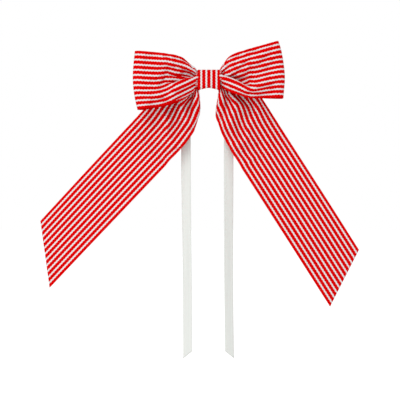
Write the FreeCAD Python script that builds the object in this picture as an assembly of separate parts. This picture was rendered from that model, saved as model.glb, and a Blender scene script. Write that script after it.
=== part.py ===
import FreeCAD, Part

import math
import os

# Ribbon hair bow: two loops, two tails and a wrapped knot of striped grosgrain, with satin ties behind.
#
# Millimetres. +Z is up as the bow is worn, the front faces -Y, and the origin is on the back face of the
# knot, at its middle, where the knot lies against the hair. Soft pieces are plain solids of the right size
# and place. One strip of ribbon is several nodes where it bends or is gathered, because each stretch of it
# moves with another body.

V = FreeCAD.Vector

# Ribbon stock
RIBBON_WIDTH = 38.0
RIBBON_THICK = 0.5
SATIN_WIDTH = 6.3
SATIN_THICK = 0.4
THREAD_DIAMETER = 0.45

# Knot: a strip of the same ribbon folded in three, wrapped round the gathered waist and glued to itself
KNOT_WIDTH = 14.8
KNOT_HEIGHT = 12.6
KNOT_DEPTH = 10.0
WRAP_THICK = 1.0
WRAP_CORNER = 2.4
WRAP_LAP = 2.0  # the two ends lap from this far below the middle to this far above it
GLUE_THICK = 0.3

# Layers in the knot, from the front, as the y of their front faces and their thicknesses
WAIST_HALF_HEIGHT = 4.6
WAIST_ROUND = 1.2
LOOP_FRONT_Y, LOOP_FRONT_THICK = -8.4, 1.6
LOOP_LAP_Y, LOOP_LAP_THICK = -6.8, 0.8
TAIL_WAIST_Y, TAIL_WAIST_THICK = -5.2, 1.3
THREAD_GAP = 0.05
THREAD_TURNS = 6

# A loop or tail starts this far outside the knot's side
SIDE_GAP = 0.9

# Tails: where each one bends below its gathers, which way it runs, how far it is turned about its length
# so that its inner edge comes forward, and how far the two edges run on below the bend
TAIL_LEFT = {
    "bend": V(-32.9, 0.0, -35.0),
    "run": V(-0.685, 0.0, -0.7285),
    "turn": 25.0,
    "outer_length": 95.7,
    "inner_length": 123.7,
}
TAIL_RIGHT = {
    "bend": V(32.3, 0.0, -41.9),
    "run": V(0.5395, 0.0, -0.842),
    "turn": 16.0,
    "outer_length": 94.9,
    "inner_length": 116.5,
}
TAIL_GAP = 0.5  # between a tail and its gather, so that it can bend
TAIL_BOW = 2.0  # how far the middle of a tail stands forward of its ends

# Ties: each leg hangs from a mitre fold beside the knot
TIE_X = {"left": -14.5, "right": 13.6}
TIE_TOP = 2.15
TIE_BOTTOM = TIE_TOP - SATIN_WIDTH
TIE_HINGE_Z = TIE_BOTTOM - 0.35
TIE_END_Z = -184.0
TIE_SLANT = 4.8
BRIDGE_Y = -3.1
FOLD_Y = 0.9


def unit(vector):
    return vector / vector.Length


def left_of(direction):
    """The unit vector a quarter turn anticlockwise from a direction in the plane."""
    return (-direction[1], direction[0])


def direction_between(start, end):
    length = math.hypot(end[0] - start[0], end[1] - start[1])
    return ((end[0] - start[0]) / length, (end[1] - start[1]) / length)


def shifted(point, direction, along, aside):
    """A point moved along a direction and to the left of it."""
    normal = left_of(direction)
    return tuple(point[k] + direction[k] * along + normal[k] * aside for k in range(2))


def side_of_route(points, radii, aside):
    """One side of a strip whose middle runs through the points, with each corner an arc.

    Returns a list of point tuples: two points for a straight run, three for an arc.
    """
    pieces = []
    here = shifted(points[0], direction_between(points[0], points[1]), 0, aside)
    for before, corner, after, radius in zip(points, points[1:], points[2:], radii):
        into = direction_between(before, corner)
        out = direction_between(corner, after)
        turn = math.atan2(into[0] * out[1] - into[1] * out[0], into[0] * out[0] + into[1] * out[1])
        tangent = radius * math.tan(abs(turn) / 2)
        centre = shifted(corner, into, -tangent, math.copysign(radius, turn))
        to_corner = direction_between(centre, corner)
        middle_radius = radius - math.copysign(1, turn) * aside
        start = shifted(corner, into, -tangent, aside)
        middle = tuple(centre[k] + to_corner[k] * middle_radius for k in range(2))
        end = shifted(corner, out, tangent, aside)
        pieces.append((here, start))
        pieces.append((start, middle, end))
        here = end
    last = direction_between(points[-2], points[-1])
    pieces.append((here, shifted(points[-1], last, 0, aside)))
    return pieces


def edge_through(points):
    """A straight edge through two points, or an arc through three."""
    if len(points) == 2:
        return Part.LineSegment(*points).toShape()
    return Part.Arc(*points).toShape()


def strip_face(points, radii, thickness, place):
    """The face of a strip of constant thickness along a route in the plane that place() sets in space."""
    left = side_of_route(points, radii, thickness / 2)
    right = side_of_route(points, radii, -thickness / 2)
    back = [tuple(reversed(piece)) for piece in reversed(right)]
    outline = left + [(left[-1][-1], back[0][0])] + back + [(back[-1][-1], left[0][0])]
    edges = []
    for piece in outline:
        placed = [place(*point) for point in piece]
        if (placed[0] - placed[-1]).Length < 1e-7:
            continue
        edges.append(edge_through(placed))
    return Part.Face(Part.Wire(edges))


def box(low, high):
    return Part.makeBox(high[0] - low[0], high[1] - low[1], high[2] - low[2], V(*low))


def outline_prism(pieces, depth=60.0):
    """A solid whose front view is an outline of (x, z) runs and arcs, and which runs through along Y."""
    edges = [edge_through([V(x, -depth / 2, z) for x, z in piece]) for piece in pieces]
    return Part.Face(Part.Wire(edges)).extrude(V(0, depth, 0))


# --- Knot ---------------------------------------------------------------------------------------------


def knot_wrap():
    """The band round the waist: its inner end lies against the waist, and its outer end laps over it."""
    half = WRAP_THICK / 2
    high = KNOT_HEIGHT / 2 - half
    front = -KNOT_DEPTH + half
    outer_back = -half
    inner_back = outer_back - WRAP_THICK - GLUE_THICK
    route = [
        (inner_back, WRAP_LAP),
        (inner_back, -high),
        (front, -high),
        (front, high),
        (outer_back, high),
        (outer_back, -WRAP_LAP),
    ]
    face = strip_face(route, [WRAP_CORNER] * 4, WRAP_THICK, lambda y, z: V(-KNOT_WIDTH / 2, y, z))
    return face.extrude(V(KNOT_WIDTH, 0, 0))


def wrap_glue():
    """The pad of glue between the wrap's ends, with the bead that it squeezes out under the outer end."""
    inset = 2.0
    front = -WRAP_THICK - GLUE_THICK
    half = KNOT_WIDTH / 2 - inset
    pad = box((-half, front, -WRAP_LAP - 0.3), (half, -WRAP_THICK, WRAP_LAP - 0.3))
    bead = Part.makeCylinder(0.6, KNOT_WIDTH - 3 * inset, V(-KNOT_WIDTH / 2 + 1.5 * inset, 0, 0), V(1, 0, 0))
    bead.translate(V(0, front, -WRAP_LAP - 0.6))
    bead = bead.cut(box((-KNOT_WIDTH, front - 2, -KNOT_HEIGHT), (KNOT_WIDTH, front, 0)))
    return pad.fuse(bead)


def waist_block(front, thickness, rounded_y):
    """A layer of the waist, with the long edges at one y rounded as the gathered pleats round them."""
    reach = KNOT_WIDTH / 2
    block = box((-reach, front, -WAIST_HALF_HEIGHT), (reach, front + thickness, WAIST_HALF_HEIGHT))
    long_edges = [edge for edge in block.Edges if edge.Length > 2 * reach - 1e-6]
    return block.makeFillet(WAIST_ROUND, [e for e in long_edges if abs(e.CenterOfMass.y - rounded_y) < 1e-6])


def loop_waist():
    """The gathered middle of the loop strip, where its front layer runs through the knot."""
    return waist_block(LOOP_FRONT_Y, LOOP_FRONT_THICK, LOOP_FRONT_Y)


def loop_lap():
    """The loop strip's two gathered ends, one lapped over the other behind its middle."""
    reach = KNOT_WIDTH / 2
    short = reach - 3
    high = WAIST_HALF_HEIGHT
    middle_y = LOOP_LAP_Y + LOOP_LAP_THICK
    first = box((-reach, LOOP_LAP_Y, -high), (short, middle_y, high))
    second = box((-short, middle_y, -high), (reach, middle_y + LOOP_LAP_THICK, high))
    return Part.makeCompound([first, second])


def tail_waist():
    return waist_block(TAIL_WAIST_Y, TAIL_WAIST_THICK, TAIL_WAIST_Y + TAIL_WAIST_THICK)


def thread_ring(x, corners, bend, radius):
    """One closed turn of thread round a rounded rectangle of (y, z) corners in the plane at x."""
    ring = None
    for k, corner in enumerate(corners):
        after = corners[(k + 1) % 4]
        into, leaving = direction_between(corners[k - 1], corner), direction_between(corner, after)
        start = shifted(corner, into, -bend, 0)
        centre = shifted(start, leaving, bend, 0)
        section = Part.Face(Part.Wire(Part.Circle(V(x, *start), V(0, *into), radius).toShape()))
        quarter = section.revolve(V(x, *centre), V(0, *into).cross(V(0, *leaving)), 90)
        run_start = shifted(corner, leaving, bend, 0)
        run_length = math.dist(corner, after) - 2 * bend
        run = Part.makeCylinder(radius, run_length, V(x, *run_start), V(0, *leaving))
        ring = quarter.fuse(run) if ring is None else ring.fuse([quarter, run])
    return ring


def binding_thread():
    """Turns of thread pulled tight round the waist, which hold its pleats."""
    radius = THREAD_DIAMETER / 2
    out = radius + THREAD_GAP
    front = LOOP_FRONT_Y - out
    back = TAIL_WAIST_Y + TAIL_WAIST_THICK + out
    high = WAIST_HALF_HEIGHT + out
    corners = [(front, -high), (back, -high), (back, high), (front, high)]
    pitch = 1.05 * THREAD_DIAMETER
    turns = [
        thread_ring((turn - (THREAD_TURNS - 1) / 2) * pitch, corners, WAIST_ROUND + out, radius)
        for turn in range(THREAD_TURNS)
    ]
    return Part.makeCompound(turns)


# --- Loops --------------------------------------------------------------------------------------------


def loop(side, outline):
    """One loop: the strip leaves the waist at the front, folds at the end and comes back behind itself."""
    start = KNOT_WIDTH / 2 + SIDE_GAP
    route = [(start, -7.6), (24.0, -16.5), (50.3, -13.0), (50.3, -8.0), (28.0, -4.6), (start, -6.1)]
    mirrored = [(side * x, y) for x, y in route]
    face = strip_face(mirrored, [14.0, 2.4, 2.4, 14.0], RIBBON_THICK, lambda x, y: V(x, y, -30))
    return face.extrude(V(0, 0, 60)).common(outline_prism(outline))


LOOP_LEFT_OUTLINE = [
    [(-8.0, 4.9), (-14.5, 12.2), (-26.0, 17.9)],
    [(-26.0, 17.9), (-48.8, 19.6)],
    [(-48.8, 19.6), (-50.9, -1.0), (-46.6, -19.6)],
    [(-46.6, -19.6), (-36.0, -19.3)],
    [(-36.0, -19.3), (-19.0, -13.5), (-8.0, -4.9)],
    [(-8.0, -4.9), (-8.0, 4.9)],
]
LOOP_RIGHT_OUTLINE = [
    [(8.0, 4.9), (13.2, 14.2), (22.0, 19.6)],
    [(22.0, 19.6), (45.3, 25.7)],
    [(45.3, 25.7), (50.9, 8.0), (48.5, -12.0)],
    [(48.5, -12.0), (34.0, -11.8)],
    [(34.0, -11.8), (18.5, -9.4), (8.0, -4.9)],
    [(8.0, -4.9), (8.0, 4.9)],
]


# --- Tails --------------------------------------------------------------------------------------------


def tail_axes(tail):
    """(along the tail, across it towards its outer edge, out of its front face)"""
    run = unit(tail["run"])
    flat_across = V(math.copysign(1, run.x) * abs(run.z), 0, abs(run.x))
    turn = math.radians(tail["turn"])
    across = flat_across * math.cos(turn) + V(0, math.sin(turn), 0)
    front = unit(run.cross(across))
    if front.y > 0:
        front = front * -1
    return run, across, front


def tail_strip(tail):
    """The flat length of a tail below its bend, with a slanting cut end."""
    run, across, front = tail_axes(tail)
    longest = max(tail["outer_length"], tail["inner_length"])
    shortest = min(tail["outer_length"], tail["inner_length"])
    edge = tail["bend"] - across * (RIBBON_WIDTH / 2)
    route = [(TAIL_GAP / 2, 0), (longest * 0.5, TAIL_BOW), (longest, 0)]
    strip = strip_face(route, [300.0], RIBBON_THICK, lambda a, b: edge + run * a + front * b)
    strip = strip.extrude(across * RIBBON_WIDTH)
    spare = 20.0
    overrun = (longest - shortest) * spare / RIBBON_WIDTH
    cut = [
        edge + run * (longest + overrun) - across * spare,
        edge + run * (longest + spare) - across * spare,
        edge + run * (longest + spare) + across * (RIBBON_WIDTH + spare),
        edge + run * (shortest - overrun) + across * (RIBBON_WIDTH + spare),
    ]
    outline = Part.makePolygon([p - front * spare for p in cut + cut[:1]])
    return strip.cut(Part.Face(outline).extrude(front * 2 * spare))


def tail_gather(side, tail, middles):
    """The gathered length of a tail from the knot's side to its bend, as a plain warped block.

    middles lists the sections between the two ends, each as its inner point, its outer point and its
    thickness from front to back.
    """
    _, across, _ = tail_axes(tail)
    start = side * (KNOT_WIDTH / 2 + 0.05)
    waist_y = TAIL_WAIST_Y + TAIL_WAIST_THICK / 2
    lower, upper = V(start, waist_y, -WAIST_HALF_HEIGHT), V(start, waist_y, WAIST_HALF_HEIGHT)
    sections = [(lower, upper, TAIL_WAIST_THICK)] + middles
    end = tail["bend"] - unit(tail["run"]) * (TAIL_GAP / 2)
    half = across * (RIBBON_WIDTH / 2)
    sections.append((end - half, end + half, RIBBON_THICK))
    wires = []
    for inner, outer, thickness in sections:
        back = V(0, thickness / 2, 0)
        corners = [inner - back, inner + back, outer + back, outer - back]
        wires.append(Part.makePolygon(corners + corners[:1]))
    return Part.makeLoft(wires, True, True)


# --- Ties ---------------------------------------------------------------------------------------------


def tie_bridge():
    """The satin strip through the knot behind the waist, with the mitre folds that turn it downwards."""
    left, right = TIE_X["left"], TIE_X["right"]
    half = SATIN_WIDTH / 2
    side = KNOT_WIDTH / 2
    bottom = TIE_BOTTOM
    route = [
        (left - half - 2, FOLD_Y),
        (left + half - 1, FOLD_Y),
        (-side, BRIDGE_Y),
        (side, BRIDGE_Y),
        (right - half + 1, FOLD_Y),
        (right + half + 2, FOLD_Y),
    ]
    bends = [1.5] * 4
    strip = strip_face(route, bends, SATIN_THICK, lambda x, y: V(x, y, -10)).extrude(V(0, 0, 20))
    front_view = [
        (left - half, bottom),
        (left + half, TIE_TOP),
        (right - half, TIE_TOP),
        (right + half, bottom),
    ]
    closed = front_view + front_view[:1]
    strip = strip.common(outline_prism([list(pair) for pair in zip(closed, closed[1:])]))
    lugs = []
    for x, inner in ((left, half), (right, -half)):
        corners = [(x - inner, bottom), (x + inner, TIE_TOP), (x + inner, bottom)]
        closed = corners + corners[:1]
        lug = outline_prism([list(pair) for pair in zip(closed, closed[1:])])
        behind = strip_face(route, bends, SATIN_THICK, lambda a, b: V(a, b + SATIN_THICK, -10))
        lugs.append(behind.extrude(V(0, 0, 20)).common(lug))
    for lug in lugs:
        strip = strip.fuse(lug)
    return strip.removeSplitter()


def tie_route(waves):
    """The (y, z) points that the middle of a leg runs through, from its hinge to its cut end."""
    return [(FOLD_Y + SATIN_THICK, TIE_HINGE_Z - 0.05)] + waves + [(waves[-1][0] + 0.5, TIE_END_Z)]


def corner_radii(points):
    """The largest arcs that the runs leave room for."""
    radii = []
    for before, corner, after in zip(points, points[1:], points[2:]):
        into, out = direction_between(before, corner), direction_between(corner, after)
        turn = abs(math.atan2(into[0] * out[1] - into[1] * out[0], into[0] * out[0] + into[1] * out[1]))
        shorter = min(math.dist(before, corner), math.dist(corner, after))
        radii.append(0.45 * shorter / math.tan(turn / 2))
    return radii


def tie(side, waves):
    """A leg of the satin strip: it hangs flat to the front and ends in a slanting cut."""
    points = tie_route(waves)
    x = TIE_X[side]
    half = SATIN_WIDTH / 2
    profile = strip_face(points, corner_radii(points), SATIN_THICK, lambda y, z: V(x - half, y, z))
    leg = profile.extrude(V(SATIN_WIDTH, 0, 0))
    outward = math.copysign(half, x)
    high, low, past = TIE_END_Z + TIE_SLANT, TIE_END_Z, TIE_END_Z - 5
    cut = [(x - outward, high), (x + outward, low), (x + outward, past), (x - outward, past)]
    return leg.cut(outline_prism(zip(cut, cut[1:] + cut[:1])))


TIE_LEFT_WAVES = [(1.9, -11.0), (3.1, -20.0), (3.4, -36.0), (2.6, -64.0), (3.6, -100.0), (2.7, -142.0)]
TIE_RIGHT_WAVES = [(2.0, -11.0), (3.3, -21.0), (3.1, -42.0), (3.9, -76.0), (2.6, -114.0), (3.3, -152.0)]


def export(name, shape):
    if shape.ShapeType == "Compound" and len(shape.Solids) == 1:
        shape = shape.Solids[0]
    state = "ok" if shape.isValid() and all(s.isClosed() for s in shape.Shells) else "BAD"
    print(f"{name:20s} {state} solids {len(shape.Solids)} volume {shape.Volume:9.2f}")
    shape.exportStep(f"parts/{name}.step")


def main():
    os.makedirs("parts", exist_ok=True)
    nodes = {
        "knot_wrap": knot_wrap(),
        "wrap_glue": wrap_glue(),
        "binding_thread": binding_thread(),
        "loop_waist": loop_waist(),
        "loop_lap": loop_lap(),
        "tail_waist": tail_waist(),
        "loop_left": loop(-1, LOOP_LEFT_OUTLINE),
        "loop_right": loop(1, LOOP_RIGHT_OUTLINE),
        "tail_gather_left": tail_gather(
            -1,
            TAIL_LEFT,
            [
                (V(-6.3, -4.4, -16.5), V(-20.0, -3.0, -0.5), 2.2),
                (V(-10.5, -4.0, -33.0), V(-34.0, 0.6, -9.0), 1.8),
            ],
        ),
        "tail_gather_right": tail_gather(
            1,
            TAIL_RIGHT,
            [
                (V(4.9, -4.4, -17.0), V(20.0, -3.0, -0.5), 2.2),
                (V(7.0, -4.0, -31.0), V(35.0, 0.6, -12.0), 1.8),
            ],
        ),
        "tail_left": tail_strip(TAIL_LEFT),
        "tail_right": tail_strip(TAIL_RIGHT),
        "tie_bridge": tie_bridge(),
        "tie_left": tie("left", TIE_LEFT_WAVES),
        "tie_right": tie("right", TIE_RIGHT_WAVES),
    }
    for name, shape in nodes.items():
        export(name, shape)


main()
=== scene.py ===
import math

import bpy
import numpy as np
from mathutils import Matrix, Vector


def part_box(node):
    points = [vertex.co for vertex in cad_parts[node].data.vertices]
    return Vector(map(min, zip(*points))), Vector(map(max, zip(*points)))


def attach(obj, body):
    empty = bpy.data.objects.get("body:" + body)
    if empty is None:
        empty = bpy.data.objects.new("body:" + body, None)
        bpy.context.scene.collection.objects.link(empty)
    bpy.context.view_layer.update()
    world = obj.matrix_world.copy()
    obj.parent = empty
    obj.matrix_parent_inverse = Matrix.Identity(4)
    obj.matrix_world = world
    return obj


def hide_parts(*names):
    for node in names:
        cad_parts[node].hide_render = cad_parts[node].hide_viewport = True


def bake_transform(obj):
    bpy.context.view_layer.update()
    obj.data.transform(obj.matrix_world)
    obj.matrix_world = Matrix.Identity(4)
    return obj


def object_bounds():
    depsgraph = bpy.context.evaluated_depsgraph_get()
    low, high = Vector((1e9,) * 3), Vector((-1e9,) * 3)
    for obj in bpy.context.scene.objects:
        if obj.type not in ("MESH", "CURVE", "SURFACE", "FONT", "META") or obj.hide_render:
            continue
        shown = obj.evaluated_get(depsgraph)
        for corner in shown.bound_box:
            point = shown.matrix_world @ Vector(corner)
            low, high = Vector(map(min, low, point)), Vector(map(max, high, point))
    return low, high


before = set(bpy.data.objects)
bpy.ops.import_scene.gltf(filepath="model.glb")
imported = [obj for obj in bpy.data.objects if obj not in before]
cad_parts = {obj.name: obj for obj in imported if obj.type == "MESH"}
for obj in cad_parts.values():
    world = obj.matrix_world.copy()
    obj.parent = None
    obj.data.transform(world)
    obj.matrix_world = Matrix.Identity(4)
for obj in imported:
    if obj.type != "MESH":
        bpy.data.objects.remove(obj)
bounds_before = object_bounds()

# Shapes are worked out in millimetres in the frame of the part and become metres in the meshes.
MM = 0.001

# Ribbon: every fourth column of a ribbon grid is the middle of a white stripe
RIBBON_WIDTH = 38.0
STRIPE_PITCH = 3.3
WHITES = 11
FIRST_WHITE = 2.475  # from the selvage to the middle of the first white stripe
COLUMN = STRIPE_PITCH / 4
COLUMNS = 47
ACROSS = np.arange(COLUMNS) * COLUMN
ROW = 0.9
HALF_THICK = 0.2
RIB = 0.96

# The camera looks level along +Y at this x and z, from this far in front of the origin
VIEW_X, VIEW_Z = -5.8, -79.2
VIEW_DISTANCE = 1246.0

WRAP_LOW, WRAP_HIGH = (np.array(corner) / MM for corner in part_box("knot_wrap"))
KNOT_SIDE = float(WRAP_HIGH[0])
KNOT_EDGE = KNOT_SIDE + 0.2  # where the ribbons come out of the wrap
WAIST_Z = float(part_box("tail_waist")[1][2] / MM)


# --- Curves and grids ---


def catmull_rom(a, b, c, d, t):
    """The point a fraction t of the way from b to c on the curve through all four."""
    return 0.5 * (2 * b + (c - a) * t + (2 * a - 5 * b + 4 * c - d) * t**2 + (3 * b - a - 3 * c + d) * t**3)


def resample(line, spacing=None, count=None):
    """The same line with points an even distance apart."""
    steps = np.sqrt((np.diff(line, axis=0) ** 2).sum(1))
    along = np.concatenate([[0], np.cumsum(steps)])
    if count is None:
        count = max(2, int(round(along[-1] / spacing)) + 1)
    even = np.linspace(0, along[-1], count)
    return np.stack([np.interp(even, along, line[:, k]) for k in range(line.shape[1])], 1)


def smooth_line(points, spacing=0.5):
    """A smooth curve through the points, with points an even distance apart."""
    p = np.array(points, float)
    ends = np.vstack([2 * p[0] - p[1], p, 2 * p[-1] - p[-2]])
    t = np.linspace(0, 1, 16, endpoint=False)[:, None]
    pieces = [catmull_rom(*ends[k : k + 4], t) for k in range(len(p) - 1)]
    return resample(np.vstack(pieces + [p[-1:]]), spacing=spacing)


def line_length(line):
    return float(np.sqrt((np.diff(line, axis=0) ** 2).sum(1)).sum())


def refine(grid, axis):
    """The grid with twice as many rows or columns, on smooth curves through the old ones."""
    g = np.moveaxis(grid, axis, 0)
    ends = np.concatenate([2 * g[:1] - g[1:2], g, 2 * g[-1:] - g[-2:-1]])
    neighbours = ends[:-3], ends[1:-2], ends[2:-1], ends[3:]
    mixed = np.stack([catmull_rom(*neighbours, t) for t in (0.0, 0.5)], 1).reshape(-1, *g.shape[1:])
    return np.moveaxis(np.concatenate([mixed, g[-1:]]), 0, axis)


def smooth_step(x, low, high):
    t = np.clip((x - low) / (high - low), 0, 1)
    return t * t * (3 - 2 * t)


def to_view(points):
    """Where points appear from the camera, drawn on the plane y = 0. Their own y stays."""
    out = points.copy()
    scale = VIEW_DISTANCE / (VIEW_DISTANCE + points[..., 1])
    out[..., 0] = VIEW_X + (points[..., 0] - VIEW_X) * scale
    out[..., 2] = VIEW_Z + (points[..., 2] - VIEW_Z) * scale
    return out


def from_view(points):
    """The points of depth y that appear at (x, z)."""
    out = points.copy()
    scale = (VIEW_DISTANCE + points[..., 1]) / VIEW_DISTANCE
    out[..., 0] = VIEW_X + (points[..., 0] - VIEW_X) * scale
    out[..., 2] = VIEW_Z + (points[..., 2] - VIEW_Z) * scale
    return out


def stripe_column(number):
    """The grid column of a white stripe, counted from the first selvage; 0 and 12 are the selvages."""
    if number == 0:
        return 0
    if number > WHITES:
        return COLUMNS - 1
    return 4 * number - 1


# --- Ribbon that keeps its length and width ---


class Links:
    """Springs between all pairs of grid points that are the same number of rows and columns apart."""

    def __init__(self, free, row_step, column_step, rest, strength, push_only=False, halves=False):
        self.rest, self.push_only = rest, push_only
        self.groups = []
        rows, columns = free.shape
        low = max(0, -column_step)
        high = low + columns - abs(column_step)
        for first in (0, 1) if halves else (0,):
            stride = 2 if halves else 1
            if row_step:
                a = (slice(first, rows - row_step, stride), slice(low, high))
                b = (slice(first + row_step, rows, stride), slice(low + column_step, high + column_step))
            else:
                a = (slice(None), slice(first, columns - column_step, stride))
                b = (slice(None), slice(first + column_step, columns, stride))
            share = 1.0 if halves else 0.5
            total = np.maximum(free[a] + free[b], 1e-9)
            weights = [(strength * share * free[k] / total)[..., None] for k in (a, b)]
            self.groups.append((a, b, *weights))

    def pull(self, grid):
        for a, b, weight_a, weight_b in self.groups:
            gap = grid[b] - grid[a]
            length = np.sqrt(np.einsum("ijk,ijk->ij", gap, gap)) + 1e-9
            rest = self.rest[a] if isinstance(self.rest, np.ndarray) else self.rest
            error = length - rest
            if self.push_only:
                error = np.minimum(error, 0)
            step = gap * (error / length)[..., None]
            grid[a] += weight_a * step
            grid[b] -= weight_b * step


def relax(grid, free, row_length, sweeps, guide, narrowing=None, bend_along=0.3, bend_across=0.5):
    """Settle a ribbon grid: it keeps its length and width, resists bending and follows its guide.

    row_length is one length or one for each column. narrowing gives for each row how much of its
    width its gathers leave.
    """
    rows = grid.shape[0]
    row_length = np.broadcast_to(row_length, (rows, COLUMNS))
    width = np.ones(rows) if narrowing is None else narrowing
    width = np.repeat(width[:, None], COLUMNS, 1)
    links = []
    for reach, strength in ((8, 0.3), (4, 0.6), (2, 1.0)):
        if rows > 2 * reach:
            links.append(Links(free, reach, 0, reach * row_length, bend_along * strength, True))
        links.append(Links(free, 0, reach, reach * COLUMN * width, bend_across * strength, True))
    diagonal = np.hypot(row_length, COLUMN * width)
    links.append(Links(free, 1, 1, diagonal, 0.5))
    links.append(Links(free, 1, -1, diagonal, 0.5))
    links.append(Links(free, 0, 1, COLUMN * width, 1.0, halves=True))
    links.append(Links(free, 1, 0, row_length, 1.0, halves=True))
    for _ in range(sweeps):
        for link in links:
            link.pull(grid)
        guide(grid)


class RailGuide:
    """Draws chosen columns of a grid, and what lies between them, towards their lines in the front view."""

    def __init__(self, rails, rows, weight):
        """rails is {column: line of (x, z)}. A point beyond the end of its line is left alone."""
        self.columns = sorted(rails)
        self.lines = [rails[c] for c in self.columns]
        self.rows = np.arange(*rows)
        hats = np.eye(len(self.columns))
        self.spread = weight * np.array([np.interp(np.arange(COLUMNS), self.columns, hat) for hat in hats])

    def apply(self, grid, free):
        moves = np.zeros((len(self.rows), len(self.columns), 2))
        for k, (column, line) in enumerate(zip(self.columns, self.lines)):
            gaps = line[None] - grid[self.rows, column][:, None, (0, 2)]
            nearest = (gaps**2).sum(-1).argmin(1)
            inside = (nearest > 0) & (nearest < len(line) - 1)
            moves[:, k] = gaps[np.arange(len(self.rows)), nearest] * inside[:, None]
        shift = np.einsum("rkc,kj->rjc", moves, self.spread) * free[self.rows][..., None]
        grid[self.rows, :, 0] += shift[..., 0]
        grid[self.rows, :, 2] += shift[..., 1]


# --- Meshes ---


def ribbon_mesh(name, grid, along, across, half_thick=HALF_THICK):
    """A thin closed slab either side of a grid of points, with the strip's own measure as its UV map.

    grid is rows x columns x 3 in millimetres; along and across are the millimetres along and across the
    strip at each point, and become UV coordinates in the same unit.
    """
    rows, columns = grid.shape[:2]
    normal = np.cross(np.gradient(grid, axis=0), np.gradient(grid, axis=1))
    normal /= np.maximum(np.linalg.norm(normal, axis=-1, keepdims=True), 1e-9)
    skins = [(grid + normal * offset).reshape(-1, 3) for offset in (half_thick, -half_thick)]
    count = rows * columns
    index = np.arange(count).reshape(rows, columns)
    a, b, c, d = index[:-1, :-1], index[1:, :-1], index[1:, 1:], index[:-1, 1:]
    front = np.stack([a, b, c, d], -1).reshape(-1, 4)
    back = np.stack([a, d, c, b], -1).reshape(-1, 4) + count
    rim = np.concatenate([index[0], index[1:, -1], index[-1, -2::-1], index[-2:0:-1, 0]])
    after = np.roll(rim, -1)
    side = np.stack([rim, after, after + count, rim + count], -1)
    faces = np.concatenate([front, back, side])
    mesh = bpy.data.meshes.new(name)
    mesh.from_pydata((np.concatenate(skins) * MM).tolist(), [], faces.tolist())
    uv = np.stack([np.broadcast_to(along, (rows, columns)), np.broadcast_to(across, (rows, columns))], -1)
    uv = np.concatenate([uv.reshape(-1, 2)] * 2)
    layer = mesh.uv_layers.new(name="strip")
    corners = np.empty(len(mesh.loops), np.int32)
    mesh.loops.foreach_get("vertex_index", corners)
    layer.data.foreach_set("uv", uv[corners].astype(np.float32).ravel())
    mesh.polygons.foreach_set("use_smooth", np.ones(len(mesh.polygons), bool))
    mesh.update()
    made = bpy.data.objects.new(name, mesh)
    bpy.context.scene.collection.objects.link(made)
    return made


# --- Materials ---

RED = (0.53, 0.001, 0.001)
WHITE = (0.58, 0.595, 0.605)
SATIN = (0.55, 0.567, 0.542)
THREAD = (0.88, 0.86, 0.84)
GLUE = (0.80, 0.76, 0.66)
WHITE_HALF = 0.525  # half the width of a white stripe
STRIPE_BLUR = 0.1  # white turns to red over this distance each side of the edge
TOOTH = 0.12  # the stripes step this far to one side and to the other at every second rib


class Pattern:
    """A material, its main shader and short names for the maths of a procedural pattern."""

    def __init__(self, name, colour, roughness, gloss=0.5, sheen=0.0):
        self.material = bpy.data.materials.new(name)
        self.material.use_nodes = True
        self.tree = self.material.node_tree
        self.shader = self.tree.nodes["Principled BSDF"]
        self.shader.inputs["Base Color"].default_value = (*colour, 1)
        self.shader.inputs["Roughness"].default_value = roughness
        self.shader.inputs["Sheen Weight"].default_value = sheen
        self.shader.inputs["Sheen Roughness"].default_value = 0.5
        self.shader.inputs["Specular IOR Level"].default_value = gloss

    def new(self, kind, **settings):
        node = self.tree.nodes.new(kind)
        for key, value in settings.items():
            setattr(node, key, value)
        return node

    def put(self, socket, value):
        if isinstance(value, bpy.types.NodeSocket):
            self.tree.links.new(value, socket)
        elif isinstance(value, tuple):
            socket.default_value = (*value, 1) if len(socket.default_value) > len(value) else value
        else:
            socket.default_value = value

    def maths(self, operation, *values, clamp=False):
        node = self.new("ShaderNodeMath", operation=operation, use_clamp=clamp)
        for socket, value in zip(node.inputs, values):
            self.put(socket, value)
        return node.outputs[0]

    def mix(self, factor, a, b):
        node = self.new("ShaderNodeMix", data_type="RGBA")
        self.put(node.inputs[0], factor)
        self.put(node.inputs[6], a)
        self.put(node.inputs[7], b)
        return node.outputs[2]

    def strip_position(self):
        """(along, across) in millimetres from the strip's own UV map."""
        uv = self.new("ShaderNodeUVMap", uv_map="strip")
        split = self.new("ShaderNodeSeparateXYZ")
        self.put(split.inputs[0], uv.outputs[0])
        return split.outputs[0], split.outputs[1]

    def noise(self, place, scale=1.0, detail=2.0):
        """Noise from -0.5 to 0.5."""
        node = self.new("ShaderNodeTexNoise")
        self.put(node.inputs["Vector"], place)
        self.put(node.inputs["Scale"], scale)
        self.put(node.inputs["Detail"], detail)
        return self.maths("SUBTRACT", node.outputs[0], 0.5)

    def grain(self, x, y):
        """Noise of two coordinates in units of its own grain."""
        place = self.new("ShaderNodeCombineXYZ")
        self.put(place.inputs[0], x)
        self.put(place.inputs[1], y)
        return self.noise(place.outputs[0])

    def lighten(self, colour, amount):
        """The colour, brighter where amount is above zero."""
        node = self.new("ShaderNodeHueSaturation")
        self.put(node.inputs["Value"], self.maths("ADD", amount, 1.0))
        self.put(node.inputs["Color"], colour)
        return node.outputs[0]

    def bump(self, height, distance):
        node = self.new("ShaderNodeBump")
        self.put(node.inputs["Strength"], 1.0)
        self.put(node.inputs["Distance"], distance)
        self.put(node.inputs["Height"], height)
        self.put(self.shader.inputs["Normal"], node.outputs[0])


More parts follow.
